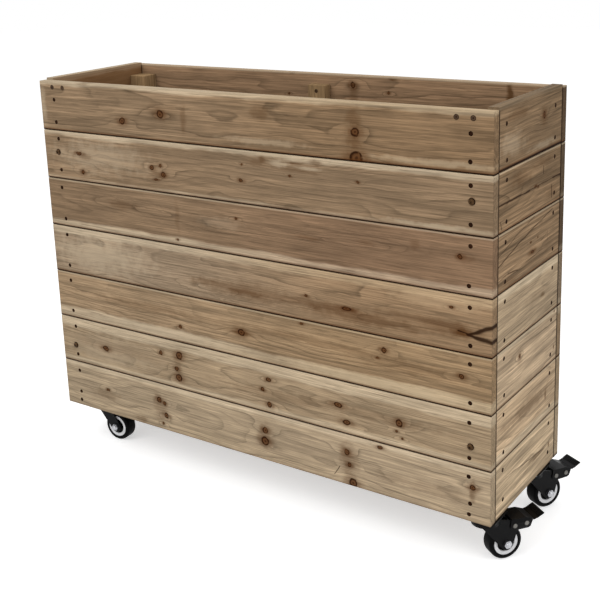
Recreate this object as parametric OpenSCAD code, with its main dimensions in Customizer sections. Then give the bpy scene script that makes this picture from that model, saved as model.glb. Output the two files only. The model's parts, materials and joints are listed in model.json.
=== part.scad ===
// Rolling planter: a tall open box of horizontal wooden boards on four swivel casters.
// The right-hand pair of casters is braked. All sizes are in millimetres.
// X runs along the length, Y from the front to the back, and Z up from the floor.

/* [Box] */
// Length of the box over its front boards
box_l = 1000; // [700:10:1300]
// Depth of the box over its front and back boards
box_d = 305; // [280:5:400]
// Number of boards stacked on each side
board_rows = 7; // [4:1:7]
// Width of each board
board_w = 100; // [90:1:120]
// Thickness of the boards
board_t = 20; // [18:0.5:24]
// Gap left between stacked boards
board_gap = 1.2; // [0.6:0.1:3]
// Height by which the end panels stand above the front and back
end_rise = 4; // [0:0.5:8]

/* [Battens and floor] */
// Width of the battens
batten_w = 40; // [36:1:50]
// Thickness of the battens
batten_t = 20; // [18:1:25]
// Distance from the rim down to the top of the battens
batten_drop = 20; // [14:1:40]
// Width of the cross rails under the floor
rail_w = 100; // [95:1:120]
// Thickness of the cross rails
rail_t = 20; // [18:1:24]
// Thickness of the floor boards
floor_t = 20; // [15:1:24]
// Drainage gap round the floor boards
floor_gap = 3; // [2:0.5:8]

/* [Nails] */
// Diameter of the nail shank
nail_d = 3; // [2.4:0.1:3.4]
// Diameter of the nail head
nail_head_d = 5.6; // [4.6:0.1:7]
// Thickness of the nail head
nail_head_t = 1.2; // [0.8:0.1:1.6]
// Depth of the nail head below the wood
nail_recess = 0.8; // [0.2:0.1:1.5]
// Wood left beyond the nail point
nail_cover = 1.2; // [1:0.1:6]
// Distance from a nail to the end of the front and back boards
nail_inset = 39.5; // [34:0.5:46]
// Distance from a nail to the edge of its board
nail_edge = 17; // [12:0.5:24]
// Distance from the rim to the highest nails, front and back
top_nail_drop = 38; // [30:1:50]
// Distance from the rim to the highest nails, end panels
end_top_nail_drop = 27; // [26:1:50]
// Height of the lowest batten nails, front and back
low_nail_z = 34; // [30:1:45]
// Height of the lowest batten nails, end panels
end_low_nail_z = 26; // [26:1:45]
// Height of the nails that hold the rails
rail_nail_z = 13; // [8:0.5:14]
// Distance that a hand-driven nail may be off its line
nail_scatter = 2; // [0:0.1:2.5]

/* [Screws and bolts] */
// Diameter of the wood screws
screw_d = 4; // [3:0.1:5]
// Diameter of the wood screw heads
screw_head_d = 8; // [6:0.1:9]
// Distance from the rim to the screws in the top front board
rim_screw_drop = 12; // [8:0.5:16]
// Distance between the two screws at each end of that board
rim_screw_pitch = 29; // [20:1:40]
// Distance from the end of that board to its first screw
rim_screw_inset = 35; // [20:1:45]
// Distance from a board's middle to the screws of the middle battens
mid_screw_offset = 18; // [10:1:22]
// Diameter of the panel bolts
bolt_d = 6; // [5:0.5:8]
// Diameter of the panel bolt heads
bolt_head_d = 10.5; // [9:0.5:14]
// Height of the panel bolt heads
bolt_head_h = 3; // [2:0.1:4]
// Distance from a panel bolt to the end of its board
bolt_inset = 37; // [34:0.5:44]
// Height of the upper bolts above the middle of their board
bolt_up = 6; // [0:1:10]
// Distance of the lower bolts below the middle of their board
bolt_down = 12; // [0:1:14]
// Diameter of the washers
washer_d = 14; // [12:0.5:18]
// Thickness of the washers
washer_t = 1.6; // [1:0.1:2.5]
// Width across the flats of the nuts
nut_af = 10; // [9:0.5:13]
// Height of the nuts
nut_h = 5; // [4:0.5:7]

/* [Caster places] */
// Distance from the left end to the left casters' swivel axes
left_inset = 56; // [52:1:80]
// Distance from the right end to the right casters' swivel axes
right_inset = 27; // [27:1:60]
// Distance from the front face to the front left swivel axis
front_left_inset = 60; // [40:1:70]
// Distance from the front face to the front right swivel axis
front_right_inset = 39; // [39:1:70]
// Distance from the back face to the rear swivel axes
back_inset = 70; // [40:1:70]
// Direction in which the front left wheel trails
front_left_turn = 3; // [-180:1:180]
// Direction in which the front right wheel trails
front_right_turn = 54; // [30:1:60]
// Direction in which the rear left wheel trails
rear_left_turn = 20; // [-180:1:180]
// Direction in which the rear right wheel trails
rear_right_turn = 61; // [45:1:80]

/* [Casters] */
// Height of the casters from the floor to the box
caster_h = 90; // [86:1:120]
// Diameter of the wheels
wheel_d = 63; // [56:1:66]
// Width of the wheels
wheel_w = 28; // [22:1:30]
// Radius of the tyre's shoulders
tyre_shoulder = 5; // [2:0.5:7]
// Diameter over which the tyre is moulded onto the hub
rim_d = 47; // [44:0.5:50]
// Inner diameter of the hub's face ring
ring_d = 33; // [28:0.5:36]
// Depth of the face ring behind the tyre's side
ring_depth = 1; // [0.5:0.1:3]
// Depth of the dish inside the face ring
dish_depth = 6; // [3:0.5:8]
// Distance from the swivel axis to the axle
trail = 34; // [30:1:38]
// Width of the square mounting plates
plate_w = 60; // [58:1:70]
// Thickness of the mounting plates
plate_t = 2.5; // [2:0.1:4]
// Spacing of the four holes in each plate
hole_pitch = 43; // [42:0.5:48]
// Diameter of the caster screws
caster_screw_d = 5; // [4:0.1:6]
// Diameter of the swivel head
hood_d = 50; // [46:1:50]
// Height of the swivel head's skirt
hood_h = 11; // [9:0.5:14]
// Thickness of the fork's sheet metal
fork_t = 2; // [1.6:0.1:2.5]
// Clearance between the wheel and each fork leg
fork_gap = 1.2; // [0.8:0.1:2]
// Radius of the fork leg round the axle
leg_end_r = 12; // [9:0.5:13]
// Diameter of the kingpin
kingpin_d = 10; // [8:0.5:12]
// Diameter of the bearing balls
ball_d = 5; // [4:0.1:5.5]
// Diameter of the axle bolt
axle_d = 8; // [6:0.5:8]
// Outer diameter of the wheel's bush
bush_d = 12; // [11:0.5:14]
// Width across the flats of the axle's head and nut
axle_af = 13; // [12:0.5:14]

/* [Brakes] */
// Angle through which a pedal is pressed to lock
brake_angle = 15; // [8:1:16]
// Thickness of the pedal's sheet metal
pedal_t = 1.6; // [1.2:0.1:2]
// Clearance between the pedal and the fork legs
pedal_gap = 0.4; // [0.3:0.1:1]
// Radius of the pedal and the leg round the brake pivot
ear_r = 9; // [7:0.5:10]
// Diameter of the pedal's pins
pin_d = 5; // [4:0.1:5.6]
// Angle above level of the line from the axle to the brake pivot
pivot_angle = 67; // [62:1:70]
// Width of the brake shoe
shoe_w = 22; // [16:1:24]
// Clearance left between the locked shoe and the tyre
shoe_gap = 0.4; // [0.3:0.1:1]

/* [Hidden] */
$fn = 48;
// Clearance round a nail, screw or rivet in its hole
fit = 0.05;
// Radial clearance of a shaft that turns in its bore
run_fit = 0.08;
// Clearance round a bolt in its hole
bolt_fit = 0.2;
// Length by which a cut runs past the face that it opens
over = 1;

// The box, measured from its own underside
box_h = board_rows * board_w + (board_rows - 1) * board_gap;
batten_top = box_h - batten_drop;
panel_stack = board_t + batten_t;
corner_stack = panel_stack + batten_t;
bolt_rows = [2, board_rows - 1];
bolt_lift = [bolt_up, -bolt_down];
side_names = ["front", "back", "left", "right"];

// Underside of a row of boards, counted from the rim
function row_z(i) = box_h - i * board_w - (i - 1) * board_gap;

function is_long(side) = side == "front" || side == "back";
function side_l(side) = is_long(side) ? box_l : box_d;

// Lines of nails along a side: through the flat of a front or back batten, or into the edge of
// an end batten
function nail_line(side) = is_long(side) ? nail_inset : panel_stack + batten_t / 2;
function upper_nail_z(side, i) =
    i > 1 ? row_z(i) + board_w - nail_edge
    : box_h - (is_long(side) ? top_nail_drop : end_top_nail_drop);
function lower_nail_z(side, i) =
    i < board_rows ? row_z(i) + nail_edge
    : is_long(side) ? low_nail_z : end_low_nail_z;

// Places [along, up] of the four batten nails in one board, each a little off its line
function nail_places(side, i) = [
    for (end = [0, 1], upper = [0, 1])
        let (
            seed = 100 * search([side], side_names)[0] + 10 * i + 2 * end + upper,
            off = rands(-nail_scatter, nail_scatter, 2, seed),
            line = nail_line(side)
        )
        [end == 0 ? line : side_l(side) - line, upper == 1 ? upper_nail_z(side, i) : lower_nail_z(side, i)]
            + off
];
rail_nail_places = [[nail_inset, rail_nail_z], [box_l - nail_inset, rail_nail_z]];
bolt_places = [
    for (k = [0, 1], x = [bolt_inset, box_l - bolt_inset])
        [x, row_z(bolt_rows[k]) + board_w / 2 + bolt_lift[k]]
];
rim_screw_places = [
    for (x = [rim_screw_inset, rim_screw_inset + rim_screw_pitch])
        for (along = [x, box_l - x])
            [along, box_h - rim_screw_drop]
];
mid_screw_places = [
    for (i = [1 : board_rows], up = [-mid_screw_offset, mid_screw_offset])
        [box_l / 2, row_z(i) + board_w / 2 + up]
];
rim_screw_l = board_t - 4;
mid_screw_l = panel_stack - 6;
mid_screw_head_h = (screw_head_d - screw_d) / 2;

// The floor: three rails across the box, two wide boards along it, and strips beside them
rail_xs = [board_t, (box_l - rail_w) / 2, box_l - board_t - rail_w];
rail_l = box_d - 2 * board_t;
wide_x = board_t + floor_gap;
wide_l = box_l - 2 * wide_x;
wide_w = (box_d - 2 * corner_stack - 3 * floor_gap) / 2;
wide_ys = [corner_stack + floor_gap, corner_stack + 2 * floor_gap + wide_w];
strip_w = corner_stack - board_t - floor_gap;
strip_l = (box_l - 3 * batten_w - 2 * board_t - 4 * floor_gap) / 2;
strip_xs = [board_t + batten_w + floor_gap, (box_l + batten_w) / 2 + floor_gap];
strip_ys = [board_t + floor_gap / 2, box_d - board_t - floor_gap / 2 - strip_w];
floor_stack = floor_t + rail_t;
floor_nail_edge = 14;
// The nails stand beyond the caster plates, which leaves the plates' screws clear
end_floor_nail_x = rail_w + board_t - floor_nail_edge;
mid_floor_nail_x = (box_l - rail_w) / 2 + floor_nail_edge;
floor_nail_xs = [end_floor_nail_x, mid_floor_nail_x, box_l - mid_floor_nail_x, box_l - end_floor_nail_x];
floor_nail_ys = [
    strip_ys[0] + strip_w / 2,
    wide_ys[0] + floor_nail_edge,
    wide_ys[0] + wide_w - floor_nail_edge,
    wide_ys[1] + floor_nail_edge,
    wide_ys[1] + wide_w - floor_nail_edge,
    strip_ys[1] + strip_w / 2
];

// The casters: name, swivel axis [x, y], direction of trail, and whether it is braked
casters = [
    ["front_left", [left_inset, front_left_inset], front_left_turn, false],
    ["front_right", [box_l - right_inset, front_right_inset], front_right_turn, true],
    ["rear_left", [left_inset, box_d - back_inset], rear_left_turn, false],
    ["rear_right", [box_l - right_inset, box_d - back_inset], rear_right_turn, true]
];
caster_screw_head_d = 9;
caster_screw_head_h = 3;
caster_screw_l = rail_t - 2;
plate_corner_r = 5;

// Heights in a caster, measured up from the top of its plate
wheel_r = wheel_d / 2;
axle_z = wheel_r - caster_h;
race_depth = 1;
race_gap = ball_d - 2 * race_depth + 2 * run_fit;
hood_z = -plate_t - race_gap;
upper_ball_z = hood_z + race_gap / 2;
lower_ball_z = hood_z - fork_t - race_gap / 2;
cup_z = hood_z - fork_t - race_gap;
cup_t = 2.5;
upper_race_r = hood_d / 2 - 8.5;
lower_race_r = kingpin_d / 2 + ball_d / 2 + 2.5;
kingpin_z = cup_z - cup_t - 3;
hood_shoulder = 7;

// Widths in a caster, measured from the middle of its wheel
leg_in = wheel_w / 2 + fork_gap;
leg_out = leg_in + fork_t;
pedal_in = leg_out + pedal_gap;
pedal_out = pedal_in + pedal_t;
hub_play = 0.4;

// Side view of a caster, [along the trail, up]
axle = [trail, axle_z];
leg_top_r = 5.5;
leg_top_x = hood_d / 2 - 13;
leg_top_z = hood_z - leg_top_r - 1.5;
pivot_gap = 1.4;
pivot_arm = wheel_r + pin_d / 2 + pivot_gap;
pivot = axle + pivot_arm * [cos(pivot_angle), sin(pivot_angle)];

// Side view of a pedal, measured from its pivot
web_line = [[-7, 13.2], [22, 11.5], [38, 5], [46, 7], [58, 12.5]];
flange_line = [[-7, 13.2], [22, 11.5], [36, 5.8], [31, -7], [27, -9], [0, -9], [-9, 0]];
shoe_line = [[6, 10.4], [20, 9.6], [27, 7.2], [27, -7], [22, -12], [6, -12]];
shoe_pin = [23, 0.5];
ridge_r = 0.8;
ridge_count = 4;
pin_head_r = pin_d / 2 + 1.7;
pin_head_h = 1.8;

// A point turned about the origin of its plane
function turned(p, a) = [p.x * cos(a) - p.y * sin(a), p.x * sin(a) + p.y * cos(a)];

// Where the axle lies for a pedal that is pressed to its lock
locked_axle = turned(axle - pivot, brake_angle);

// Middle of the ground that the planter covers, pressed pedals' pads and bolt heads included
pedal_reach = pivot.x + web_line[len(web_line) - 1].x;
function pad_corner(c, half_w) = casters[c][1] + turned([pedal_reach, half_w], casters[c][2]);
east = max(box_l, pad_corner(1, -pedal_out).x, pad_corner(3, -pedal_out).x);
north = max(box_d + bolt_head_h, pad_corner(3, pedal_out).y);
middle = [east / 2, (north - bolt_head_h) / 2];

board_color = "BurlyWood";
batten_color = "Tan";
steel_color = "Silver";
nail_color = "DimGray";
black_color = "#1b1b1c";

// Places the box's own frame so that the planter stands centred on the origin
module in_place() {
    translate([-middle.x, -middle.y, caster_h])
        children();
}

// Frame of one side: x runs along it, y inward from its outer face, z up
module at_side(side) {
    if (side == "front")
        children();
    if (side == "back")
        translate([box_l, box_d, 0]) rotate(180) children();
    if (side == "left")
        translate([0, box_d, 0]) rotate(-90) children();
    if (side == "right")
        translate([box_l, 0, 0]) rotate(90) children();
}

// Points what is drawn along +Z inward from a side's face at each [along, up] place
module inward_at(places) {
    for (p = places)
        translate([p.x, 0, p.y])
            rotate([-90, 0, 0])
                children();
}

// A nail driven from z = 0 into a stack of wood, with its hole in the pieces that it joins
module nail(stack) {
    tip = stack - nail_cover;
    rotate_extrude()
        polygon([
            [0, nail_recess],
            [nail_head_d / 2, nail_recess],
            [nail_head_d / 2, nail_recess + nail_head_t],
            [nail_d / 2, nail_recess + nail_head_t],
            [nail_d / 2, tip - nail_d],
            [0, tip]
        ]);
}

module nail_hole(stack) {
    translate([0, 0, -over])
        cylinder(d = nail_head_d + 2 * fit, h = over + nail_recess + nail_head_t + fit);
    cylinder(d = nail_d + 2 * fit, h = stack - nail_cover + fit);
}

// A countersunk wood screw driven from z = 0, and its hole
module wood_screw(l) {
    difference() {
        rotate_extrude()
            polygon([
                [0, 0],
                [screw_head_d / 2, 0],
                [screw_d / 2, mid_screw_head_h],
                [screw_d / 2, l - screw_d],
                [0, l]
            ]);
        cross_recess(screw_head_d);
    }
}

module wood_screw_hole(l) {
    cylinder(d1 = screw_head_d + 4 * fit, d2 = screw_d + 2 * fit, h = mid_screw_head_h + fit);
    cylinder(d = screw_d + 2 * fit, h = l + fit);
    translate([0, 0, -over])
        cylinder(d = screw_head_d + 4 * fit, h = over);
}

// The cross slot of a screw head that faces down the z axis
module cross_recess(head_d) {
    slot_l = head_d * 0.5;
    slot_w = head_d * 0.12;
    slot_depth = head_d * 0.14;
    for (turn = [0, 90])
        rotate(turn)
            translate([-slot_l / 2, -slot_w / 2, -over])
                cube([slot_l, slot_w, over + slot_depth]);
}

// Everything that is driven through the boards and battens of one side, in that side's frame
module side_holes(side, rows) {
    for (i = rows)
        inward_at(nail_places(side, i))
            nail_hole(panel_stack);
    if (is_long(side)) {
        inward_at(rail_nail_places)
            nail_hole(panel_stack);
        inward_at(bolt_places)
            translate([0, 0, -over])
                cylinder(d = bolt_d + 2 * bolt_fit, h = corner_stack + 2 * over);
        mid_screws_place()
            wood_screw_hole(mid_screw_l);
    }
    if (side == "front")
        inward_at(rim_screw_places)
            wood_screw_hole(rim_screw_l);
}

// The middle battens' screws are driven outward, from the inner face of the batten
module mid_screws_place() {
    for (p = mid_screw_places)
        translate([p.x, panel_stack, p.y])
            rotate([90, 0, 0])
                children();
}

// One board of a side. The end boards stand between the front and back boards
module side_board(side, i) {
    inset = is_long(side) ? 0 : board_t;
    rise = is_long(side) || i > 1 ? 0 : end_rise;
    color(board_color)
        in_place()
            difference() {
                at_side(side)
                    difference() {
                        translate([inset, 0, row_z(i)])
                            cube([side_l(side) - 2 * inset, board_t, board_w + rise]);
                        side_holes(side, [i]);
                    }
                if (i == board_rows)
                    at_caster_screws() caster_screw_hole();
            }
}

// Upright batten from the rails to just below the rim
module batten(along, inward, size) {
    translate([along, inward, rail_t])
        cube([size.x, size.y, batten_top - rail_t]);
}

// A front or back panel has battens at its ends and middle, laid flat on the boards.
// An end panel's two battens stand on edge against those of the front and back.
module side_battens(side) {
    flat = [batten_w, batten_t];
    on_edge = [batten_t, batten_w];
    color(batten_color)
        in_place()
            at_side(side)
                difference() {
                    if (is_long(side)) {
                        for (x = [board_t, (box_l - batten_w) / 2, box_l - board_t - batten_w])
                            batten(x, board_t, flat);
                    } else {
                        for (x = [panel_stack, box_d - corner_stack])
                            batten(x, board_t, on_edge);
                    }
                    side_holes(side, [1 : board_rows]);
                    if (!is_long(side))
                        bolts_across();
                }
}

// The panel bolts' holes as they run through an end panel's battens
module bolts_across() {
    for (k = [0, 1])
        translate([-over, bolt_inset, row_z(bolt_rows[k]) + board_w / 2 + bolt_lift[k]])
            rotate([0, 90, 0])
                cylinder(d = bolt_d + 2 * bolt_fit, h = box_d + 2 * over);
}

module at_floor_nails() {
    for (x = floor_nail_xs, y = floor_nail_ys)
        translate([x, y, floor_stack])
            rotate([180, 0, 0])
                children();
}

module floor_boards() {
    color(board_color)
        in_place()
            difference() {
                for (y = wide_ys)
                    translate([wide_x, y, rail_t])
                        cube([wide_l, wide_w, floor_t]);
                at_floor_nails() nail_hole(floor_stack);
            }
}

module floor_strips() {
    color(board_color)
        in_place()
            difference() {
                for (x = strip_xs, y = strip_ys)
                    translate([x, y, rail_t])
                        cube([strip_l, strip_w, floor_t]);
                at_floor_nails() nail_hole(floor_stack);
            }
}

module bottom_rails() {
    color(batten_color)
        in_place()
            difference() {
                for (x = rail_xs)
                    translate([x, board_t, 0])
                        cube([rail_w, rail_l, rail_t]);
                for (side = ["front", "back"])
                    at_side(side)
                        inward_at(rail_nail_places)
                            nail_hole(panel_stack);
                at_floor_nails() nail_hole(floor_stack);
                at_caster_screws() caster_screw_hole();
            }
}

module nails() {
    color(nail_color)
        in_place() {
            for (side = side_names)
                at_side(side) {
                    for (i = [1 : board_rows])
                        inward_at(nail_places(side, i))
                            nail(panel_stack);
                    if (is_long(side))
                        inward_at(rail_nail_places)
                            nail(panel_stack);
                }
            at_floor_nails() nail(floor_stack);
        }
}

module wood_screws() {
    color(steel_color)
        in_place() {
            inward_at(rim_screw_places)
                wood_screw(rim_screw_l);
            for (side = ["front", "back"])
                at_side(side)
                    mid_screws_place()
                        wood_screw(mid_screw_l);
        }
}

// Round-headed bolt whose head rests on z = 0
module panel_bolt() {
    bolt_l = corner_stack + washer_t + nut_h + 2;
    dome = bolt_head_h / 2;
    difference() {
        union() {
            cylinder(d = bolt_d, h = bolt_l);
            translate([0, 0, -bolt_head_h + dome])
                cylinder(d = bolt_head_d, h = bolt_head_h - dome);
            translate([0, 0, -bolt_head_h])
                cylinder(d1 = bolt_head_d - 2 * dome, d2 = bolt_head_d, h = dome);
        }
        translate([0, 0, -bolt_head_h])
            cross_recess(bolt_head_d);
    }
}

module panel_bolts() {
    color(steel_color)
        in_place()
            for (side = ["front", "back"])
                at_side(side)
                    inward_at(bolt_places)
                        panel_bolt();
}

// A washer and a nut on each panel bolt, inside the corner
module bolt_nuts() {
    color(steel_color)
        in_place()
            for (side = ["front", "back"])
                at_side(side)
                    inward_at(bolt_places)
                        translate([0, 0, corner_stack]) {
                            ring(washer_d, bolt_d + 2 * bolt_fit, washer_t);
                            translate([0, 0, washer_t + fit])
                                hex_nut(nut_af, bolt_d + 2 * fit, nut_h);
                        }
}

module ring(outer_d, inner_d, h) {
    difference() {
        cylinder(d = outer_d, h = h);
        translate([0, 0, -over])
            cylinder(d = inner_d, h = h + 2 * over);
    }
}

module hex(af, h) {
    cylinder(d = af / cos(30), h = h, $fn = 6);
}

module hex_nut(af, bore_d, h) {
    difference() {
        hex(af, h);
        translate([0, 0, -over])
            cylinder(d = bore_d, h = h + 2 * over);
    }
}

// Frame of caster c at rest: its swivel axis is z, its plate's top z = 0, and it trails along x
module at_caster(c) {
    translate([casters[c][1].x, casters[c][1].y, 0])
        rotate(casters[c][2])
            children();
}

// The plates are square to the box, whichever way the wheels point
module at_plates() {
    for (c = casters)
        translate([c[1].x, c[1].y, 0])
            children();
}

module at_caster_screws() {
    at_plates()
        for (x = [-1, 1], y = [-1, 1])
            translate([x, y, 0] * hole_pitch / 2)
                children();
}

// Screw that holds a plate: its head is under the plate and its point in the wood
module caster_screw() {
    translate([0, 0, -plate_t - caster_screw_head_h])
        difference() {
            union() {
                cylinder(d = caster_screw_head_d, h = caster_screw_head_h);
                cylinder(d = caster_screw_d, h = caster_screw_head_h + plate_t + caster_screw_l);
            }
            cross_recess(caster_screw_head_d);
        }
}

module caster_screw_hole() {
    translate([0, 0, -over])
        cylinder(d = caster_screw_d + 2 * fit, h = over + caster_screw_l + fit);
}

module caster_screws() {
    color(steel_color)
        in_place()
            at_caster_screws()
                caster_screw();
}

// Ring-shaped groove that a circle of balls runs in
module race(r, z) {
    translate([0, 0, z])
        rotate_extrude()
            translate([r, 0])
                circle(d = ball_d + 2 * run_fit);
}

module rounded_square(w, r) {
    square([w - 2 * r, w], center = true);
    square([w, w - 2 * r], center = true);
    for (x = [-1, 1], y = [-1, 1])
        translate([x, y] * (w / 2 - r))
            circle(r);
}

module plate() {
    difference() {
        translate([0, 0, -plate_t])
            linear_extrude(plate_t)
                rounded_square(plate_w, plate_corner_r);
        for (x = [-1, 1], y = [-1, 1])
            translate([x * hole_pitch / 2, y * hole_pitch / 2, -plate_t - over])
                cylinder(d = caster_screw_d + 2 * bolt_fit, h = plate_t + 2 * over);
        translate([0, 0, -plate_t - over])
            cylinder(d = kingpin_d + 2 * fit, h = plate_t + 2 * over);
        race(upper_race_r, upper_ball_z);
    }
}

// The kingpin is fixed in the plate and carries the lower race under the swivel head
module kingpin() {
    difference() {
        union() {
            translate([0, 0, kingpin_z])
                cylinder(d = kingpin_d, h = -kingpin_z);
            translate([0, 0, cup_z - cup_t])
                cylinder(r = lower_race_r + ball_d / 2 + 1, h = cup_t);
            translate([0, 0, kingpin_z])
                cylinder(d = kingpin_d + 6, h = cup_z - cup_t - kingpin_z);
        }
        race(lower_race_r, lower_ball_z);
    }
}

module caster_plates() {
    color(black_color)
        in_place()
            at_plates() {
                plate();
                kingpin();
            }
}

// A circle of balls with a little play between neighbours
module ball_circle(r, z) {
    count = floor(360 / (2 * asin((ball_d + 0.5) / (2 * r))));
    for (k = [1 : count])
        rotate(k * 360 / count)
            translate([r, 0, z])
                sphere(d = ball_d);
}

module swivel_bearings() {
    color(steel_color)
        in_place()
            at_plates() {
                ball_circle(upper_race_r, upper_ball_z);
                ball_circle(lower_race_r, lower_ball_z);
            }
}

// Half section of the swivel head, with a round shoulder
module hood_section(r, h, shoulder) {
    translate([0, -h])
        square([r, h - shoulder]);
    translate([0, -shoulder])
        square([r - shoulder, shoulder]);
    translate([r - shoulder, -shoulder])
        circle(shoulder);
}

module hood() {
    translate([0, 0, hood_z])
        rotate_extrude()
            difference() {
                intersection() {
                    hood_section(hood_d / 2, hood_h, hood_shoulder);
                    translate([0, -hood_h])
                        square([hood_d / 2, hood_h]);
                }
                translate([0, -fork_t])
                    hood_section(hood_d / 2 - fork_t, hood_h, hood_shoulder - fork_t);
            }
}

// Flat outline of two circles and the strip between their outer tangents
module tangent_link(p1, r1, p2, r2) {
    d = norm(p2 - p1);
    line_a = atan2(p2.y - p1.y, p2.x - p1.x);
    open_a = acos((r1 - r2) / d);
    ends = [for (s = [1, -1]) line_a + s * open_a];
    polygon([
        p1 + r1 * [cos(ends[0]), sin(ends[0])],
        p2 + r2 * [cos(ends[0]), sin(ends[0])],
        p2 + r2 * [cos(ends[1]), sin(ends[1])],
        p1 + r1 * [cos(ends[1]), sin(ends[1])]
    ]);
    translate(p1) circle(r1);
    translate(p2) circle(r2);
}

// Side view of a fork leg. A braked caster's leg has an ear for the pedal's pivot
module leg_outline(braked) {
    front = [-leg_top_x, leg_top_z];
    rear = [leg_top_x, leg_top_z];
    tangent_link(front, leg_top_r, axle, leg_end_r);
    tangent_link(rear, leg_top_r, axle, leg_end_r);
    tangent_link(front, leg_top_r, rear, leg_top_r);
    polygon([front, rear, axle]);
    if (braked) {
        tangent_link(rear, leg_top_r, pivot, ear_r);
        tangent_link(pivot, ear_r, axle, leg_end_r);
        polygon([rear, pivot, axle]);
    }
}

// Stands a side view up and gives it a thickness, from y = from to y = from + t
module upright(from, t) {
    translate([0, from + t, 0])
        rotate([90, 0, 0])
            linear_extrude(t)
                children();
}

// A round bar or hole right across the caster, at a point of its side view
module across(p, d, half_l) {
    translate([p.x, half_l, p.y])
        rotate([90, 0, 0])
            cylinder(d = d, h = 2 * half_l);
}

module yoke(c) {
    braked = casters[c][3];
    color(black_color)
        in_place()
            at_caster(c)
                difference() {
                    union() {
                        hood();
                        for (from = [-leg_out, leg_in])
                            upright(from, fork_t)
                                leg_outline(braked);
                    }
                    translate([0, 0, hood_z - fork_t - over])
                        cylinder(d = kingpin_d + 2 * run_fit, h = fork_t + 2 * over);
                    race(upper_race_r, upper_ball_z);
                    race(lower_race_r, lower_ball_z);
                    across(axle, axle_d + 2 * fit, leg_out + over);
                    if (braked)
                        across(pivot, pin_d + 2 * run_fit, leg_out + over);
                }
}

// Frame of the wheel: z is the axle's line and points to the side with the nut
module on_axle() {
    translate([trail, 0, axle_z])
        rotate([90, 0, 0])
            children();
}

// Bolt with a hexagonal head, and a domed nut on its other end
module axle_set(c) {
    head_h = 5;
    nut_hex_h = 4.5;
    dome_r = axle_af / 2 - 0.9;
    dome_z = 2.9;
    thread_l = 4;
    color(steel_color)
        in_place()
            at_caster(c)
                on_axle() {
                    translate([0, 0, -leg_out])
                        cylinder(d = axle_d, h = 2 * leg_out + thread_l);
                    translate([0, 0, -leg_out - head_h])
                        hex(axle_af, head_h);
                    translate([0, 0, leg_out])
                        difference() {
                            union() {
                                hex(axle_af, nut_hex_h);
                                translate([0, 0, dome_z])
                                    sphere(dome_r);
                            }
                            translate([0, 0, -dome_r])
                                cylinder(r = dome_r + over, h = dome_r);
                            translate([0, 0, -over])
                                cylinder(d = axle_d + 2 * fit, h = over + thread_l + fit);
                        }
                    translate([0, 0, -leg_in])
                        ring(bush_d, axle_d + 2 * fit, 2 * leg_in);
                }
}

// Half section of the tyre, with round shoulders
module tyre_section() {
    r = rim_d / 2 + fit;
    w = wheel_w;
    translate([r, -w / 2 + tyre_shoulder])
        square([wheel_r - r, w - 2 * tyre_shoulder]);
    intersection() {
        translate([r, -w / 2])
            square([wheel_r - r, w]);
        union() {
            translate([r, -w / 2])
                square([wheel_r - tyre_shoulder - r, w]);
            for (side = [-1, 1])
                translate([wheel_r - tyre_shoulder, side * (w / 2 - tyre_shoulder)])
                    circle(tyre_shoulder);
        }
    }
}

module tyre(c) {
    color(black_color)
        in_place()
            at_caster(c)
                on_axle()
                    rotate_extrude()
                        tyre_section();
}

// The hub has a flat ring on each face, a dished web and a boss round the bush
module hub(c) {
    ring_z = wheel_w / 2 - ring_depth;
    web_z = ring_z - dish_depth;
    boss_z = leg_in - hub_play;
    boss_r = bush_d / 2 + 3;
    bore_r = bush_d / 2 + run_fit;
    color("WhiteSmoke")
        in_place()
            at_caster(c)
                on_axle()
                    rotate_extrude()
                        difference() {
                            union() {
                                translate([ring_d / 2, -ring_z])
                                    square([(rim_d - ring_d) / 2, 2 * ring_z]);
                                translate([0, -web_z])
                                    square([rim_d / 2 - 1, 2 * web_z]);
                                translate([0, -boss_z])
                                    square([boss_r, 2 * boss_z]);
                            }
                            translate([0, -boss_z - over])
                                square([bore_r, 2 * (boss_z + over)]);
                        }
}

// Side view of the pedal's bent sheet: the line of its top face, and its thickness below that
module web_outline() {
    last = len(web_line) - 1;
    polygon(concat(web_line, [for (k = [last : -1 : 0]) web_line[k] - [0, pedal_t]]));
}

// The point at a share of the way along the pedal's foot pad
function pad_point(share) = web_line[3] + share * (web_line[4] - web_line[3]);

// A pin with a head on each end, just clear of the pedal's outer faces
module pedal_pin(p) {
    head = [[0, 0], [pin_head_r, 0], [pin_head_r, pin_head_h / 2], [pin_head_r / 2, pin_head_h], [0, pin_head_h]];
    head_y = pedal_out + fit;
    across(p, pin_d, head_y);
    for (side = [-1, 1])
        translate([p.x, side * head_y, p.y])
            rotate([-90 * side, 0, 0])
                rotate_extrude()
                    polygon(head);
}

module brake_pedal(c) {
    in_place()
        at_caster(c)
            translate([pivot.x, 0, pivot.y]) {
                color(black_color)
                    difference() {
                        union() {
                            for (from = [-pedal_out, pedal_in])
                                upright(from, pedal_t) {
                                    polygon(flange_line);
                                    circle(ear_r);
                                }
                            upright(-pedal_out, 2 * pedal_out)
                                web_outline();
                            for (k = [1 : ridge_count])
                                across(pad_point(k / (ridge_count + 1)), 2 * ridge_r, pedal_out);
                        }
                        for (p = [[0, 0], shoe_pin])
                            across(p, pin_d + 2 * fit, pedal_out + over);
                    }
                color(steel_color)
                    for (p = [[0, 0], shoe_pin])
                        pedal_pin(p);
                color(nail_color)
                    difference() {
                        upright(-shoe_w / 2, shoe_w)
                            polygon(shoe_line);
                        across(locked_axle, wheel_d + 2 * shoe_gap, shoe_w);
                        across(shoe_pin, pin_d + 2 * fit, shoe_w);
                    }
            }
}

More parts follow.
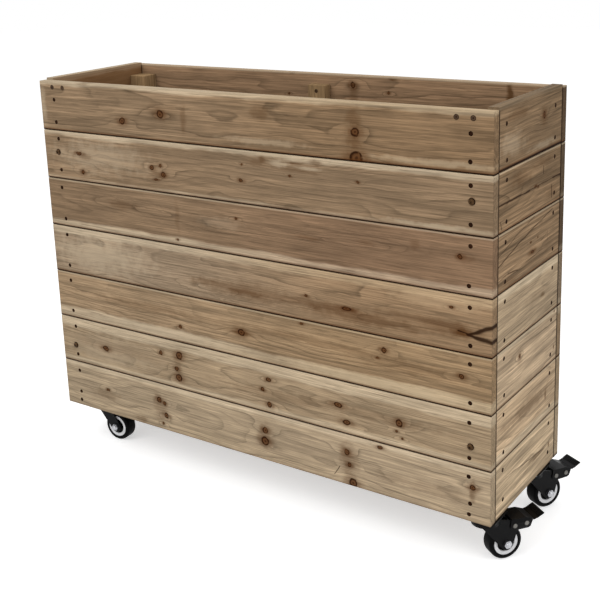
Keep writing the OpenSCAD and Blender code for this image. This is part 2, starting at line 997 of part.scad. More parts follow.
for (side = side_names, i = [1 : board_rows])
    side_board(side, i);
for (side = side_names)
    side_battens(side);
floor_boards();
floor_strips();
bottom_rails();
nails();
wood_screws();
panel_bolts();
bolt_nuts();
caster_screws();
caster_plates();
swivel_bearings();
for (c = [0 : len(casters) - 1]) {
    yoke(c);
    axle_set(c);
    hub(c);
    tyre(c);
    brake_pedal(c);
}
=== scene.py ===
import json
import math
import random

import bmesh
import bpy
from mathutils import Matrix, Vector


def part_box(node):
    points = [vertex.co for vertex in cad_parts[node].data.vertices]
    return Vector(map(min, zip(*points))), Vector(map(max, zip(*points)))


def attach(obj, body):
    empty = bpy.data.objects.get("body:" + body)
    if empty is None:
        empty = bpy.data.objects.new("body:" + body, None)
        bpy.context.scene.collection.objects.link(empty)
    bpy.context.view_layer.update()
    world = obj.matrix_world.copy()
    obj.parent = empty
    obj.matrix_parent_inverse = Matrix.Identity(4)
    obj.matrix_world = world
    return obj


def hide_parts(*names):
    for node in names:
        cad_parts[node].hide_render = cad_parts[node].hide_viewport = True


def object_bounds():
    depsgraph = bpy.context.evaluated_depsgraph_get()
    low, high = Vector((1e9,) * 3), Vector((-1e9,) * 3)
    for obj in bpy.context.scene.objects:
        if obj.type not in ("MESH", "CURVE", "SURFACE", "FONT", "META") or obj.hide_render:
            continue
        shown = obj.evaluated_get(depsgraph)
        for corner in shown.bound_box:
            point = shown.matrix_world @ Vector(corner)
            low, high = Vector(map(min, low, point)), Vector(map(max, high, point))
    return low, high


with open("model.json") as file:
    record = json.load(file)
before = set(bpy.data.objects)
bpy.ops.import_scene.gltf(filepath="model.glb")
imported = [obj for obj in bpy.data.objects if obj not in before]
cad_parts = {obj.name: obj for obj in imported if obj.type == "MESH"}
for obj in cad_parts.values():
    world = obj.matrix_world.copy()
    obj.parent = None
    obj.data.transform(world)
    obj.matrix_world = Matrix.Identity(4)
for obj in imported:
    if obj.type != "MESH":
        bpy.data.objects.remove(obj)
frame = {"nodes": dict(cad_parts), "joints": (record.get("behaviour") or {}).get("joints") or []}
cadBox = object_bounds()
corner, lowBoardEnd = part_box("front_board_7")  # corner: lower left front of the box
boxLength = lowBoardEnd.x - corner.x
boardThick = lowBoardEnd.y - corner.y
boardWidth = lowBoardEnd.z - corner.z
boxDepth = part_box("back_board_7")[1].y - corner.y
print("frame loaded")


def addObject(name, data):
    thing = bpy.data.objects.new(name, data)
    bpy.context.collection.objects.link(thing)
    return thing


# Camera, at the photograph's viewing angle
cameraSet = {
    "place": (1.6668, -1.4908, 0.9849),  # metres from the box's lower left front corner
    "turn": 34.69,
    "tilt": -14.15,
    "roll": -2.06,
    "lens": 64.09,
    "shiftY": -0.1667,
}


def makeCamera(look):
    data = bpy.data.cameras.new("planterCamera")
    data.lens = look["lens"]
    data.shift_y = look["shiftY"]
    camera = addObject("planterCamera", data)
    turned = (
        Matrix.Rotation(math.radians(look["turn"]), 4, "Z")
        @ Matrix.Rotation(math.radians(90 + look["tilt"]), 4, "X")
        @ Matrix.Rotation(math.radians(look["roll"]), 4, "Z")
    )
    camera.matrix_world = Matrix.Translation(corner + Vector(look["place"])) @ turned
    bpy.context.scene.camera = camera


makeCamera(cameraSet)
bpy.context.scene.view_settings.view_transform = "Standard"


# A colour from 0 to 255 as it is seen, made linear
def ink(red, green, blue):
    def linear(value):
        value /= 255
        return value / 12.92 if value <= 0.04045 else ((value + 0.055) / 1.055) ** 2.4

    return (linear(red), linear(green), linear(blue), 1.0)


def scaled(color, factor):
    return tuple(min(1.0, c * factor) for c in color[:3]) + (1.0,)


# Short ways to put nodes in a tree
def feed(tree, node, inputs):
    for key, value in inputs.items():
        if isinstance(value, bpy.types.NodeSocket):
            tree.links.new(value, node.inputs[key])
        else:
            node.inputs[key].default_value = value
    return node


def addNode(tree, kind, inputs=None, **settings):
    node = tree.nodes.new(kind)
    for key, value in settings.items():
        setattr(node, key, value)
    return feed(tree, node, inputs or {})


def maths(tree, operation, *values, clamp=False):
    inputs = dict(enumerate(values))
    return addNode(tree, "ShaderNodeMath", inputs, operation=operation, use_clamp=clamp).outputs[0]


def product(tree, first, second):
    return maths(tree, "MULTIPLY", first, second)


def weighted(tree, *pairs):
    total = product(tree, *pairs[0])
    for pair in pairs[1:]:
        total = maths(tree, "ADD", total, product(tree, *pair))
    return total


def vectorNode(tree, operation, inputs):
    return addNode(tree, "ShaderNodeVectorMath", inputs, operation=operation).outputs


def vectorMaths(tree, operation, *values):
    return vectorNode(tree, operation, dict(enumerate(values)))[0]


def vectorScaled(tree, vector, amount):
    return vectorNode(tree, "SCALE", {0: vector, "Scale": amount})[0]


def lengthOf(tree, vector):
    return vectorNode(tree, "LENGTH", {0: vector})[1]


def combined(tree, x=0.0, y=0.0, z=0.0):
    return addNode(tree, "ShaderNodeCombineXYZ", {0: x, 1: y, 2: z}).outputs[0]


def separated(tree, vector):
    return addNode(tree, "ShaderNodeSeparateXYZ", {0: vector}).outputs


def noise(tree, place, scale=1.0, detail=2.0, rough=0.5, output=0):
    inputs = {"Vector": place, "Scale": scale, "Detail": detail, "Roughness": rough}
    return addNode(tree, "ShaderNodeTexNoise", inputs).outputs[output]


# A noise in three directions, centred on zero
def wobble(tree, place, scale, detail, reach):
    spread = vectorMaths(tree, "SUBTRACT", noise(tree, place, scale, detail, output=1), (0.5, 0.5, 0.5))
    return vectorMaths(tree, "MULTIPLY", spread, reach)


def ramp(tree, value, start, stop, low=0.0, high=1.0):
    inputs = {"Value": value, 1: start, 2: stop, 3: low, 4: high}
    return addNode(tree, "ShaderNodeMapRange", inputs, interpolation_type="SMOOTHSTEP").outputs[0]


def mixColor(tree, factor, a, b, blend="MIX"):
    inputs = {0: factor, 6: a, 7: b}
    return addNode(tree, "ShaderNodeMix", inputs, data_type="RGBA", blend_type=blend).outputs[2]


def tinted(tree, color, other):
    return mixColor(tree, 1.0, color, other, "MULTIPLY")


def shadeBy(tree, color, level):
    grey = addNode(tree, "ShaderNodeCombineColor", {0: level, 1: level, 2: level}).outputs[0]
    return tinted(tree, color, grey)


def newGroup(name, vectors, numbers, outs):
    group = bpy.data.node_groups.new(name, "ShaderNodeTree")
    for labels, way, kind in ((vectors, "INPUT", "Vector"), (numbers, "INPUT", "Float"), (outs, "OUTPUT", "Float")):
        for label in labels:
            group.interface.new_socket(label, in_out=way, socket_type="NodeSocket" + kind)
    return group, group.nodes.new("NodeGroupInput").outputs, group.nodes.new("NodeGroupOutput").inputs


def sendOut(tree, result, found):
    for label, value in found.items():
        tree.links.new(value, result[label])
    return tree


def placeGroup(tree, group, **inputs):
    inputs = {key.replace("_", " "): value for key, value in inputs.items()}
    return addNode(tree, "ShaderNodeGroup", inputs, node_tree=group).outputs


def bumped(tree, height, strength, distance):
    inputs = {"Height": height, "Strength": strength, "Distance": distance}
    return addNode(tree, "ShaderNodeBump", inputs).outputs[0]


def newMaterial(name):
    material = bpy.data.materials.new(name)
    material.use_nodes = True
    tree = material.node_tree
    return material, tree, tree.nodes["Principled BSDF"], addNode(tree, "ShaderNodeTexCoord").outputs["Object"]


# Wood: growth rings round a pith that lies beside the board. Places are in mm, x along the grain.
grainSet = {  # how often each noise changes per mm: along the grain, through the board, across it
    "slow": (0.0026, 0.010, 0.010),
    "quick": (0.014, 0.05, 0.05),
    "fibre": (0.010, 0.50, 0.50),
    "coarse": (0.0045, 0.15, 0.15),
    "fleck": (0.018, 0.42, 0.42),
    "streak": (0.0022, 0.045, 0.045),
    "blotch": (0.008, 0.02, 0.02),
    "sawn": (0.16, 0.02, 0.012),
    "slowReach": (0.0, 46.0, 56.0),  # mm that the rings wander
    "quickReach": (0.0, 5.0, 5.0),
    "seedShift": (431.0, 57.0, 83.0),
    "sharpness": 4.5,  # more gives thinner ring lines
    "lineEnd": (1.0, 0.93),
    "lineChange": 0.43,  # how much the strength differs from ring to ring
    "lineStrength": (0.3, 0.65, 0.3, 1.0),
    "fleckRange": (0.60, 0.70),
}


def buildSawnWood(look):
    outs = ("Rings", "Fibre", "Grain", "Fleck", "Streak", "Blotch", "Height")
    tree, given, result = newGroup("sawnWood", ("Place", "Pith"), ("Ring Width", "Warp", "Seed"), outs)
    shift = combined(tree, *(product(tree, given["Seed"], step) for step in look["seedShift"]))
    moved = vectorMaths(tree, "ADD", given["Place"], shift)

    def drawn(key):
        return vectorMaths(tree, "MULTIPLY", moved, look[key])

    slow = wobble(tree, drawn("slow"), 1.0, 2.0, look["slowReach"])
    quick = wobble(tree, drawn("quick"), 1.0, 3.0, look["quickReach"])
    fromPith = vectorMaths(tree, "SUBTRACT", given["Place"], given["Pith"])
    fromPith = vectorMaths(tree, "ADD", vectorMaths(tree, "ADD", fromPith, slow), quick)
    radius = lengthOf(tree, vectorMaths(tree, "MULTIPLY", fromPith, (0.0, 1.0, 1.0)))
    phase = maths(tree, "ADD", maths(tree, "DIVIDE", radius, given["Ring Width"]), given["Warp"])
    part = maths(tree, "FRACT", phase)
    line = product(tree, maths(tree, "POWER", part, look["sharpness"]), ramp(tree, part, *look["lineEnd"]))
    ringPlace = combined(tree, product(tree, phase, look["lineChange"]), given["Seed"])
    rings = product(tree, line, ramp(tree, noise(tree, ringPlace, detail=1.0), *look["lineStrength"]))
    fibre = noise(tree, drawn("fibre"), detail=4.0, rough=0.7)
    sawn = noise(tree, drawn("sawn"), detail=2.0)
    return sendOut(tree, result, {
        "Rings": rings,
        "Fibre": fibre,
        "Grain": noise(tree, drawn("coarse"), detail=3.0, rough=0.6),
        "Fleck": ramp(tree, noise(tree, drawn("fleck"), detail=3.0), *look["fleckRange"]),
        "Streak": noise(tree, drawn("streak"), detail=3.0, rough=0.6),
        "Blotch": noise(tree, drawn("blotch"), detail=3.0, rough=0.6),
        "Height": weighted(tree, (fibre, 0.7), (sawn, 0.25), (rings, 0.25)),
    })


# A knot runs through the board's thickness, and the rings bend round it
knotSet = {  # distances are in radii of the knot
    "wobble": (5.0, 0.0, 5.0),  # mm
    "rimOutside": (1.12, 0.85),
    "rimInside": (0.45, 0.82, 0.15, 1.0),
    "rimPatches": (0.32, 0.5, 0.45, 1.0),
    "heart": (0.42, 0.12, 0.0, 0.75),
    "core": (1.05, 0.75),
    "haloLonger": 1.9,
    "haloTaller": 1.15,
    "halo": (2.1, 0.5),
    "haloPatches": (0.3, 0.62, 0.6, 1.0),
    "bendLonger": 3.2,
    "bend": (2.6, 0.4, 0.0, 1.05),
}


def buildKnot(look):
    outs = ("Warp", "Rim", "Core", "Halo")
    tree, given, result = newGroup("knot", ("Place", "Centre"), ("Radius", "Stretch"), outs)
    away = vectorMaths(tree, "SUBTRACT", given["Place"], given["Centre"])
    away = vectorMaths(tree, "ADD", away, wobble(tree, given["Place"], 0.09, 2.0, look["wobble"]))
    apart = separated(tree, away)

    def reach(longer=1.0, taller=1.0):
        along = maths(tree, "DIVIDE", apart[0], product(tree, given["Stretch"], longer))
        flat = combined(tree, along, 0.0, maths(tree, "DIVIDE", apart[2], taller))
        return maths(tree, "DIVIDE", lengthOf(tree, flat), given["Radius"])

    near = reach()
    rim = product(tree, ramp(tree, near, *look["rimOutside"]), ramp(tree, near, *look["rimInside"]))
    rim = product(tree, rim, ramp(tree, noise(tree, given["Place"], 0.13, 2.0), *look["rimPatches"]))
    halo = ramp(tree, reach(look["haloLonger"], look["haloTaller"]), *look["halo"])
    patchy = ramp(tree, noise(tree, given["Place"], 0.11, 3.0), *look["haloPatches"])
    return sendOut(tree, result, {
        "Warp": ramp(tree, reach(look["bendLonger"]), *look["bend"]),
        "Rim": maths(tree, "MAXIMUM", rim, ramp(tree, near, *look["heart"])),
        "Core": ramp(tree, near, *look["core"]),
        "Halo": product(tree, product(tree, halo, halo), patchy),
    })


# A soft dark or pale patch, and a fine crack from one place to another
patchSet = {"wobble": (1.3, 0.0, 1.3), "edge": (1.15, 0.25)}
crackSet = {"thinning": (0.3, 0.6, 0.4, 1.0), "edge": (1.2, 0.3)}
alongFace = (1.0, 0.0, 1.0)


def buildPatch(look):
    tree, given, result = newGroup("patch", ("Place", "Centre", "Reach"), (), ("Mask",))
    away = vectorMaths(tree, "SUBTRACT", given["Place"], given["Centre"])
    away = vectorMaths(tree, "DIVIDE", away, given["Reach"])
    away = vectorMaths(tree, "ADD", away, wobble(tree, given["Place"], 0.06, 3.0, look["wobble"]))
    far = lengthOf(tree, vectorMaths(tree, "MULTIPLY", away, alongFace))
    return sendOut(tree, result, {"Mask": ramp(tree, far, *look["edge"])})


def buildCrack(look):
    tree, given, result = newGroup("crack", ("Place", "From", "To"), ("Width", "Wander"), ("Mask",))
    sway = vectorScaled(tree, wobble(tree, given["Place"], 0.03, 3.0, (0.0, 0.0, 1.0)), given["Wander"])
    place = vectorMaths(tree, "ADD", given["Place"], sway)
    flat = vectorMaths(tree, "MULTIPLY", vectorMaths(tree, "SUBTRACT", place, given["From"]), alongFace)
    span = vectorMaths(tree, "SUBTRACT", given["To"], given["From"])
    dot = vectorNode(tree, "DOT_PRODUCT", {0: flat, 1: span})[1]
    size = vectorNode(tree, "DOT_PRODUCT", {0: span, 1: span})[1]
    foot = vectorScaled(tree, span, maths(tree, "DIVIDE", dot, size, clamp=True))
    far = lengthOf(tree, vectorMaths(tree, "SUBTRACT", flat, vectorMaths(tree, "MULTIPLY", foot, alongFace)))
    thin = product(tree, given["Width"], ramp(tree, noise(tree, place, 0.02, 2.0), *look["thinning"]))
    return sendOut(tree, result, {"Mask": ramp(tree, maths(tree, "DIVIDE", far, thin), *look["edge"])})


sawnWood, knot = buildSawnWood(grainSet), buildKnot(knotSet)
patch, crack = buildPatch(patchSet), buildCrack(crackSet)
print("wood patterns ready")

woodSet = {
    "late": 0.34,  # how dark the ring lines are, against the board's own tone
    "pale": 1.12,
    "streak": 0.76,
    "streakRange": (0.42, 0.68, 0.0, 0.6),
    "shades": {"Blotch": (0.89, 1.09), "Grain": (0.87, 1.12), "Fibre": (0.66, 1.32)},  # darkest, lightest
    "fleck": 0.45,
    "fleckShare": 0.5,
    # sapwood colour, also used for the highlight painted along each board's top edge
    "sapAndHighlight": ink(196, 176, 147),
    "sapShare": 0.62,
    "sapWander": 16.0,
    "halo": ink(88, 55, 28),
    "core": ink(98, 62, 34),
    "rim": ink(34, 12, 1),
    "markShares": {"Halo": 0.7, "Core": 0.8, "Rim": 0.95},
    "eyeBend": 2.0,  # how much more the rings bend round an eye than round a knot
    "smudge": ink(84, 54, 26),
    "crack": ink(34, 15, 4),
    "crackDepth": 1.5,
    "endGrain": 0.86,
    "edgeShadow": ink(24, 8, 0),
    # warm shade painted beside the seam, above each board's bottom edge
    "seamShadeWarm": ink(92, 54, 22),
    "joint": 3.0,  # width of the shadow line where an end board meets the front or back
    "jointShare": 0.85,
    "inner": ink(142, 98, 58),
    "innerDark": 0.6,
    "innerFrom": (-7.0, -9.4),  # how far behind the board's middle its inner face is
    "cast": (1.0, 1.025, 1.06, 1.0),
    "roughness": (0.62, 0.86),
    "specular": 0.03,
    "bump": (0.55, 0.0006),  # strength, height in metres
}


def knotMarks(tree, spot, look):
    warp, marks = 0.0, {"Halo": 0.0, "Core": 0.0, "Rim": 0.0}
    for x, z, radius, stretch in look.get("eyes", []):
        swirl = placeGroup(tree, knot, Place=spot, Centre=(x, 0, z), Radius=radius, Stretch=stretch)["Warp"]
        warp = maths(tree, "ADD", warp, product(tree, swirl, woodSet["eyeBend"]))
    for x, z, radius, stretch in look.get("knots", []):
        one = placeGroup(tree, knot, Place=spot, Centre=(x, 0, z), Radius=radius, Stretch=stretch)
        warp = maths(tree, "ADD", warp, one["Warp"])
        marks = {key: maths(tree, "MAXIMUM", value, one[key]) for key, value in marks.items()}
    return warp, marks


def plainWood(tree, grain, height, width, look):
    tone = look["tone"]
    color = mixColor(tree, grain["Rings"], scaled(tone, woodSet["pale"]), scaled(tone, woodSet["late"]))
    streak = ramp(tree, grain["Streak"], *woodSet["streakRange"])
    color = mixColor(tree, streak, color, scaled(tone, woodSet["streak"]))
    wander = product(tree, maths(tree, "SUBTRACT", grain["Blotch"], 0.5), woodSet["sapWander"])
    for key, sign in (("sapTop", 1.0), ("sapBottom", -1.0)):
        if look.get(key):
            edge = maths(tree, "ADD", product(tree, height, sign), wander)
            start = width / 2 - look[key]
            sapAndHighlight = ramp(tree, edge, start - 3, start + 4, 0.0, woodSet["sapShare"])
            color = mixColor(tree, sapAndHighlight, color, woodSet["sapAndHighlight"])
    for key, (dark, light) in woodSet["shades"].items():
        color = shadeBy(tree, color, ramp(tree, grain[key], 0.25, 0.75, dark, light))
    if look.get("bold"):
        level = ramp(tree, grain["Grain"], 0.25, 0.75, 1 - look["bold"], 1 + look["bold"])
        color = shadeBy(tree, color, level)
    return mixColor(tree, product(tree, grain["Fleck"], woodSet["fleckShare"]), color, scaled(tone, woodSet["fleck"]))


def darkened(tree, mask, color, factor):
    return mixColor(tree, mask, color, tinted(tree, color, scaled((1, 1, 1), factor)))


# Pale and dark lines along a board's edges (a highlight painted along the top edge, shade painted along the bottom
# edge at the seam), and painted shadows where it meets its neighbours
def edgeMarks(tree, color, axes, length, width, look):
    away = maths(tree, "ABSOLUTE", maths(tree, "SUBTRACT", axes[0], look.get("middle", length / 2)))
    ends = ramp(tree, away, length / 2 - 1.2, length / 2 - 0.3)
    color = darkened(tree, ends, color, look.get("endShade", woodSet["endGrain"]))
    top, bottom = width / 2, -width / 2
    if look.get("edgeLines", True):
        lowShare = look.get("bottomLine", 1.0)
        # The first line is a highlight painted along the top edge; the other two are shade painted along the bottom
        # edge, where the seam lies
        for start, stop, share, tint in ((top - 3.4, top - 1.6, look.get("topHighlight", 0.45), "sapAndHighlight"),
                                         (bottom + 6.5, bottom + 2.5, 0.55 * lowShare, "seamShadeWarm"),
                                         (bottom + 3.0, bottom + 1.5, 0.95 * lowShare, "edgeShadow")):
            color = mixColor(tree, ramp(tree, axes[2], start, stop, 0.0, share), color, woodSet[tint])
    if look.get("rimShade"):
        color = darkened(tree, ramp(tree, axes[2], top - 1.4, top - 0.4), color, look["rimShade"])
    joint = None
    if look.get("between"):
        line = length / 2 - woodSet["joint"]
        joint = ramp(tree, away, line, line + woodSet["joint"] / 2, 0.0, woodSet["jointShare"])
        if look.get("stand"):
            covered = top - look["stand"]
            joint = product(tree, joint, ramp(tree, axes[2], covered + 0.5, covered - 0.5))
    elif look.get("outside"):
        outer = product(tree, axes[1], -look["outside"])
        joint = product(tree, ends, ramp(tree, outer, 7.0, 8.8, 0.0, woodSet["jointShare"]))
    return color if joint is None else mixColor(tree, joint, color, woodSet["edgeShadow"])


def boardWood(name, place, turn, length, width, look):
    material, tree, shader, raw = newMaterial(name)
    inputs = {"Vector": raw, "Location": place, "Rotation": turn, "Scale": (0.001, 0.001, 0.001)}
    spot = addNode(tree, "ShaderNodeMapping", inputs, vector_type="TEXTURE").outputs[0]
    axes = separated(tree, spot)
    warp, marks = knotMarks(tree, spot, look)
    grain = placeGroup(tree, sawnWood, Place=spot, Pith=look["pith"], Ring_Width=look["ring"], Warp=warp,
                       Seed=look["seed"])
    color = plainWood(tree, grain, axes[2], width, look)
    for key, tint in (("pales", "sapAndHighlight"), ("smudges", "smudge")):
        for x, z, reachX, reachZ, strength in look.get(key, []):
            mask = placeGroup(tree, patch, Place=spot, Centre=(x, 0, z), Reach=(reachX, 1, reachZ))["Mask"]
            color = mixColor(tree, product(tree, mask, strength), color, woodSet[tint])
    if look.get("knots"):
        for key, share in woodSet["markShares"].items():
            color = mixColor(tree, product(tree, marks[key], share), color, woodSet[key.lower()])
    if look.get("inner"):
        inside = ramp(tree, axes[1], *woodSet["innerFrom"], 0.0, look["inner"])
        shaded = scaled(woodSet["inner"], woodSet["innerDark"])
        color = mixColor(tree, inside, color, mixColor(tree, grain["Streak"], woodSet["inner"], shaded))
    split = 0.0
    for x, z, toX, toZ, wide in look.get("cracks", []):
        mask = placeGroup(tree, crack, Place=spot, From=(x, 0, z), To=(toX, 0, toZ), Width=wide,
                          Wander=look.get("wander", 5.0))["Mask"]
        split = maths(tree, "MAXIMUM", split, mask)
    if look.get("cracks"):
        color = mixColor(tree, product(tree, split, look.get("crackTone", 0.85)), color, woodSet["crack"])
    color = edgeMarks(tree, color, axes, length, width, look)
    if look.get("levelAlong"):
        color = shadeBy(tree, color, ramp(tree, axes[0], 0.0, length, *look["levelAlong"]))
    if look.get("warmRight"):
        reddened = tinted(tree, color, look["warmRight"] + (1.0,))
        color = mixColor(tree, ramp(tree, axes[0], 0.25 * length, 0.8 * length), color, reddened)
    lift = maths(tree, "SUBTRACT", grain["Height"], product(tree, split, woodSet["crackDepth"]))
    feed(tree, shader, {
        "Base Color": tinted(tree, color, woodSet["cast"]),
        "Roughness": ramp(tree, grain["Fibre"], 0.2, 0.8, *woodSet["roughness"]),
        "Specular IOR Level": woodSet["specular"],
        "Normal": bumped(tree, lift, *woodSet["bump"]),
    })
    return material


# Boards that face the camera. Places are in mm: x from the left or front edge of the box, z from the board's
# middle line. pith: where the heart of the tree lies. ring: width of a growth ring. knots and eyes: x, z,
# radius, stretch. smudges and pales: x, z, reach x, reach z, strength. cracks: x, z, x, z, width.
# sapTop, sapBottom: width of the pale edge. topHighlight, bottomLine, rimShade: strength of the painted highlight on
# the top edge, the painted shade at the bottom edge and the painted shade on the top face.
# bold: contrast of the grain. warmRight: tint of the right-hand end.
frontLooks = [
    {"tone": ink(136, 112, 86), "pith": (0, 75, 22), "ring": 7.5, "sapTop": 7, "warmRight": (0.98, 0.93, 0.86),
     "bold": 0.12, "topHighlight": 0.3,
     "knots": [(222, -18, 7.5, 1.0), (321, 2, 8, 1.0), (750, 0, 8, 1.0), (752, -45, 13, 1.0)],
     "smudges": [(378, 0, 9, 34, 0.4), (553, 20, 24, 16, 0.4), (748, 22, 18, 24, 0.45), (748, -16, 20, 14, 0.55),
         (330, 10, 60, 22, 0.2), (123, 49, 22, 2.5, 0.6)],
     "pales": [(900, -38, 150, 7, 0.5), (560, -32, 110, 8, 0.35), (4, 0, 12, 50, 0.35)]},
    {"tone": ink(137, 113, 87), "pith": (0, 60, -48), "ring": 6.5, "sapTop": 9, "sapBottom": 6,
     "knots": [(96, 8, 4, 2.0), (103, -30, 5.5, 0.8), (291, -3, 5, 1.0), (320, -14, 5.5, 1.0),
         (313, 3, 3.5, 1.0), (300, -26, 2.5, 2.0), (506, -6, 4, 1.2), (509, 24, 2, 1.0), (614, 13, 2.5, 1.0),
         (754, 16, 2.5, 1.0)],
     "eyes": [(583, 36, 11, 1.6), (663, 40, 10, 1.8)],
     "smudges": [(37, 6, 8, 8, 0.75), (963, 6, 8, 8, 0.75), (556, 38, 11, 9, 0.6), (542, 30, 28, 8, 0.4),
         (616, 36, 30, 2.2, 0.6), (622, 24, 70, 6, 0.3), (670, 40, 18, 8, 0.6), (112, 2, 20, 9, 0.4),
         (310, -16, 22, 9, 0.4)],
     "pales": [(590, 33, 26, 10, 0.45), (622, 42, 28, 5, 0.4), (655, 29, 36, 4, 0.45), (905, -42, 120, 6, 0.5),
         (150, 6, 150, 40, 0.3)]},
    {"tone": ink(131, 107, 82), "pith": (0, 38, 8), "ring": 9.0, "sapBottom": 15,
     "warmRight": (1.03, 0.96, 0.95),
     "knots": [(346, -38, 2.5, 1.2), (490, 22, 2.5, 1.2), (943, 14, 4.5, 1.0)],
     "eyes": [(205, 12, 9, 3.0), (450, 4, 9, 3.6), (646, 6, 6, 4.5), (765, 13, 8, 2.4)],
     "smudges": [(348, 6, 7, 44, 0.25), (205, 14, 44, 12, 0.3), (646, 6, 34, 5, 0.35), (765, 13, 24, 7, 0.25),
         (862, 22, 12, 12, 0.3), (950, 10, 26, 9, 0.3)],
     "pales": [(450, 8, 60, 14, 0.14)]},
    {"tone": ink(146, 125, 101), "pith": (0, 55, 30), "ring": 6.0, "sapTop": 14, "warmRight": (1.0, 0.89, 0.77),
     "crackTone": 0.92,
     "knots": [(640, -2, 2.5, 1.4), (725, -12, 4.0, 2.6), (927, 26, 3, 1.2)],
     "eyes": [(440, -14, 12, 2.4), (525, -20, 10, 3.2), (640, -8, 9, 2.6)],
     "smudges": [(500, -16, 120, 22, 0.42), (412, -12, 54, 9, 0.42), (510, -18, 64, 7, 0.5),
         (660, -14, 120, 12, 0.4), (760, -22, 150, 15, 0.5), (860, -4, 110, 9, 0.35), (725, -12, 22, 5, 0.6),
         (930, -12, 70, 16, 0.45), (948, -13, 26, 8, 0.85)],
     "cracks": [(940, -12, 966, -16, 2.4), (958, -16, 1003, 5, 5.4), (956, -16, 1003, -23, 5.0)],
     "pales": [(130, 0, 160, 44, 0.45), (900, 30, 110, 12, 0.3)]},
    {"tone": ink(153, 128, 99), "pith": (0, 46, 40), "ring": 5.5, "sapBottom": 24,
     "warmRight": (1.04, 1.0, 0.93), "bold": 0.08,
     "knots": [(337, -16, 3.5, 1.2), (489, 1, 7, 1.1), (628, 44, 3, 1.2), (799, 27, 5.5, 1.0),
         (786, 10, 2.5, 1.0), (946, 10, 5, 1.0)],
     "smudges": [(489, 0, 60, 12, 0.4), (489, 0, 24, 5, 0.6), (260, 10, 210, 12, 0.3), (640, 14, 240, 10, 0.28),
         (850, 4, 140, 16, 0.25)],
     "pales": [(300, -34, 240, 12, 0.45), (800, -36, 260, 12, 0.5)]},
    {"tone": ink(156, 134, 106), "pith": (0, 52, -12), "ring": 6.5, "sapTop": 20, "sapBottom": 13,
     "warmRight": (1.08, 1.07, 1.06),
     "knots": [(126, -3, 6, 1.3), (280, 19, 5, 0.9), (329, 22, 9, 0.9), (320, -7, 5, 1.0), (325, -26, 8, 1.0),
         (548, 18, 5, 1.2), (533, -4, 4, 1.0), (548, -33, 6.5, 0.9), (702, 3, 5, 1.8), (719, -27, 5, 1.8),
         (827, -2, 7, 1.0), (822, -19, 2.5, 1.0), (833, -30, 2.5, 1.0)],
     "smudges": [(37, -12, 8, 8, 0.75), (963, -12, 8, 8, 0.75), (150, 2, 150, 18, 0.3),
         (560, -10, 160, 14, 0.25), (324, 4, 14, 40, 0.3), (760, 0, 200, 12, 0.25)],
     "pales": [(140, -6, 150, 40, 0.3)]},
    {"tone": ink(170, 149, 121), "pith": (0, 40, 0), "ring": 7.0, "sapTop": 10, "warmRight": (1.08, 1.07, 1.07),
     "bottomLine": 0.25,
     "knots": [(122, 4, 4, 1.0), (267, 14, 7, 0.9), (281, 9, 5, 0.8), (284, -17, 6.5, 0.9), (274, -37, 3, 1.0),
         (535, 13, 7, 0.9), (534, -10, 9, 1.0), (718, 15, 7, 0.9), (723, -9, 5, 0.9), (730, -43, 9, 1.0),
         (788, 42, 4, 1.4), (967, 14, 5, 1.2)],
     "smudges": [(267, 0, 20, 40, 0.3), (534, 0, 22, 34, 0.35), (722, 0, 22, 44, 0.45), (967, 6, 8, 28, 0.6),
         (215, -40, 26, 9, 0.45), (120, -8, 50, 14, 0.3), (880, -10, 120, 14, 0.2)],
     "cracks": [(690, -36, 702, -18, 1.2)]},
]
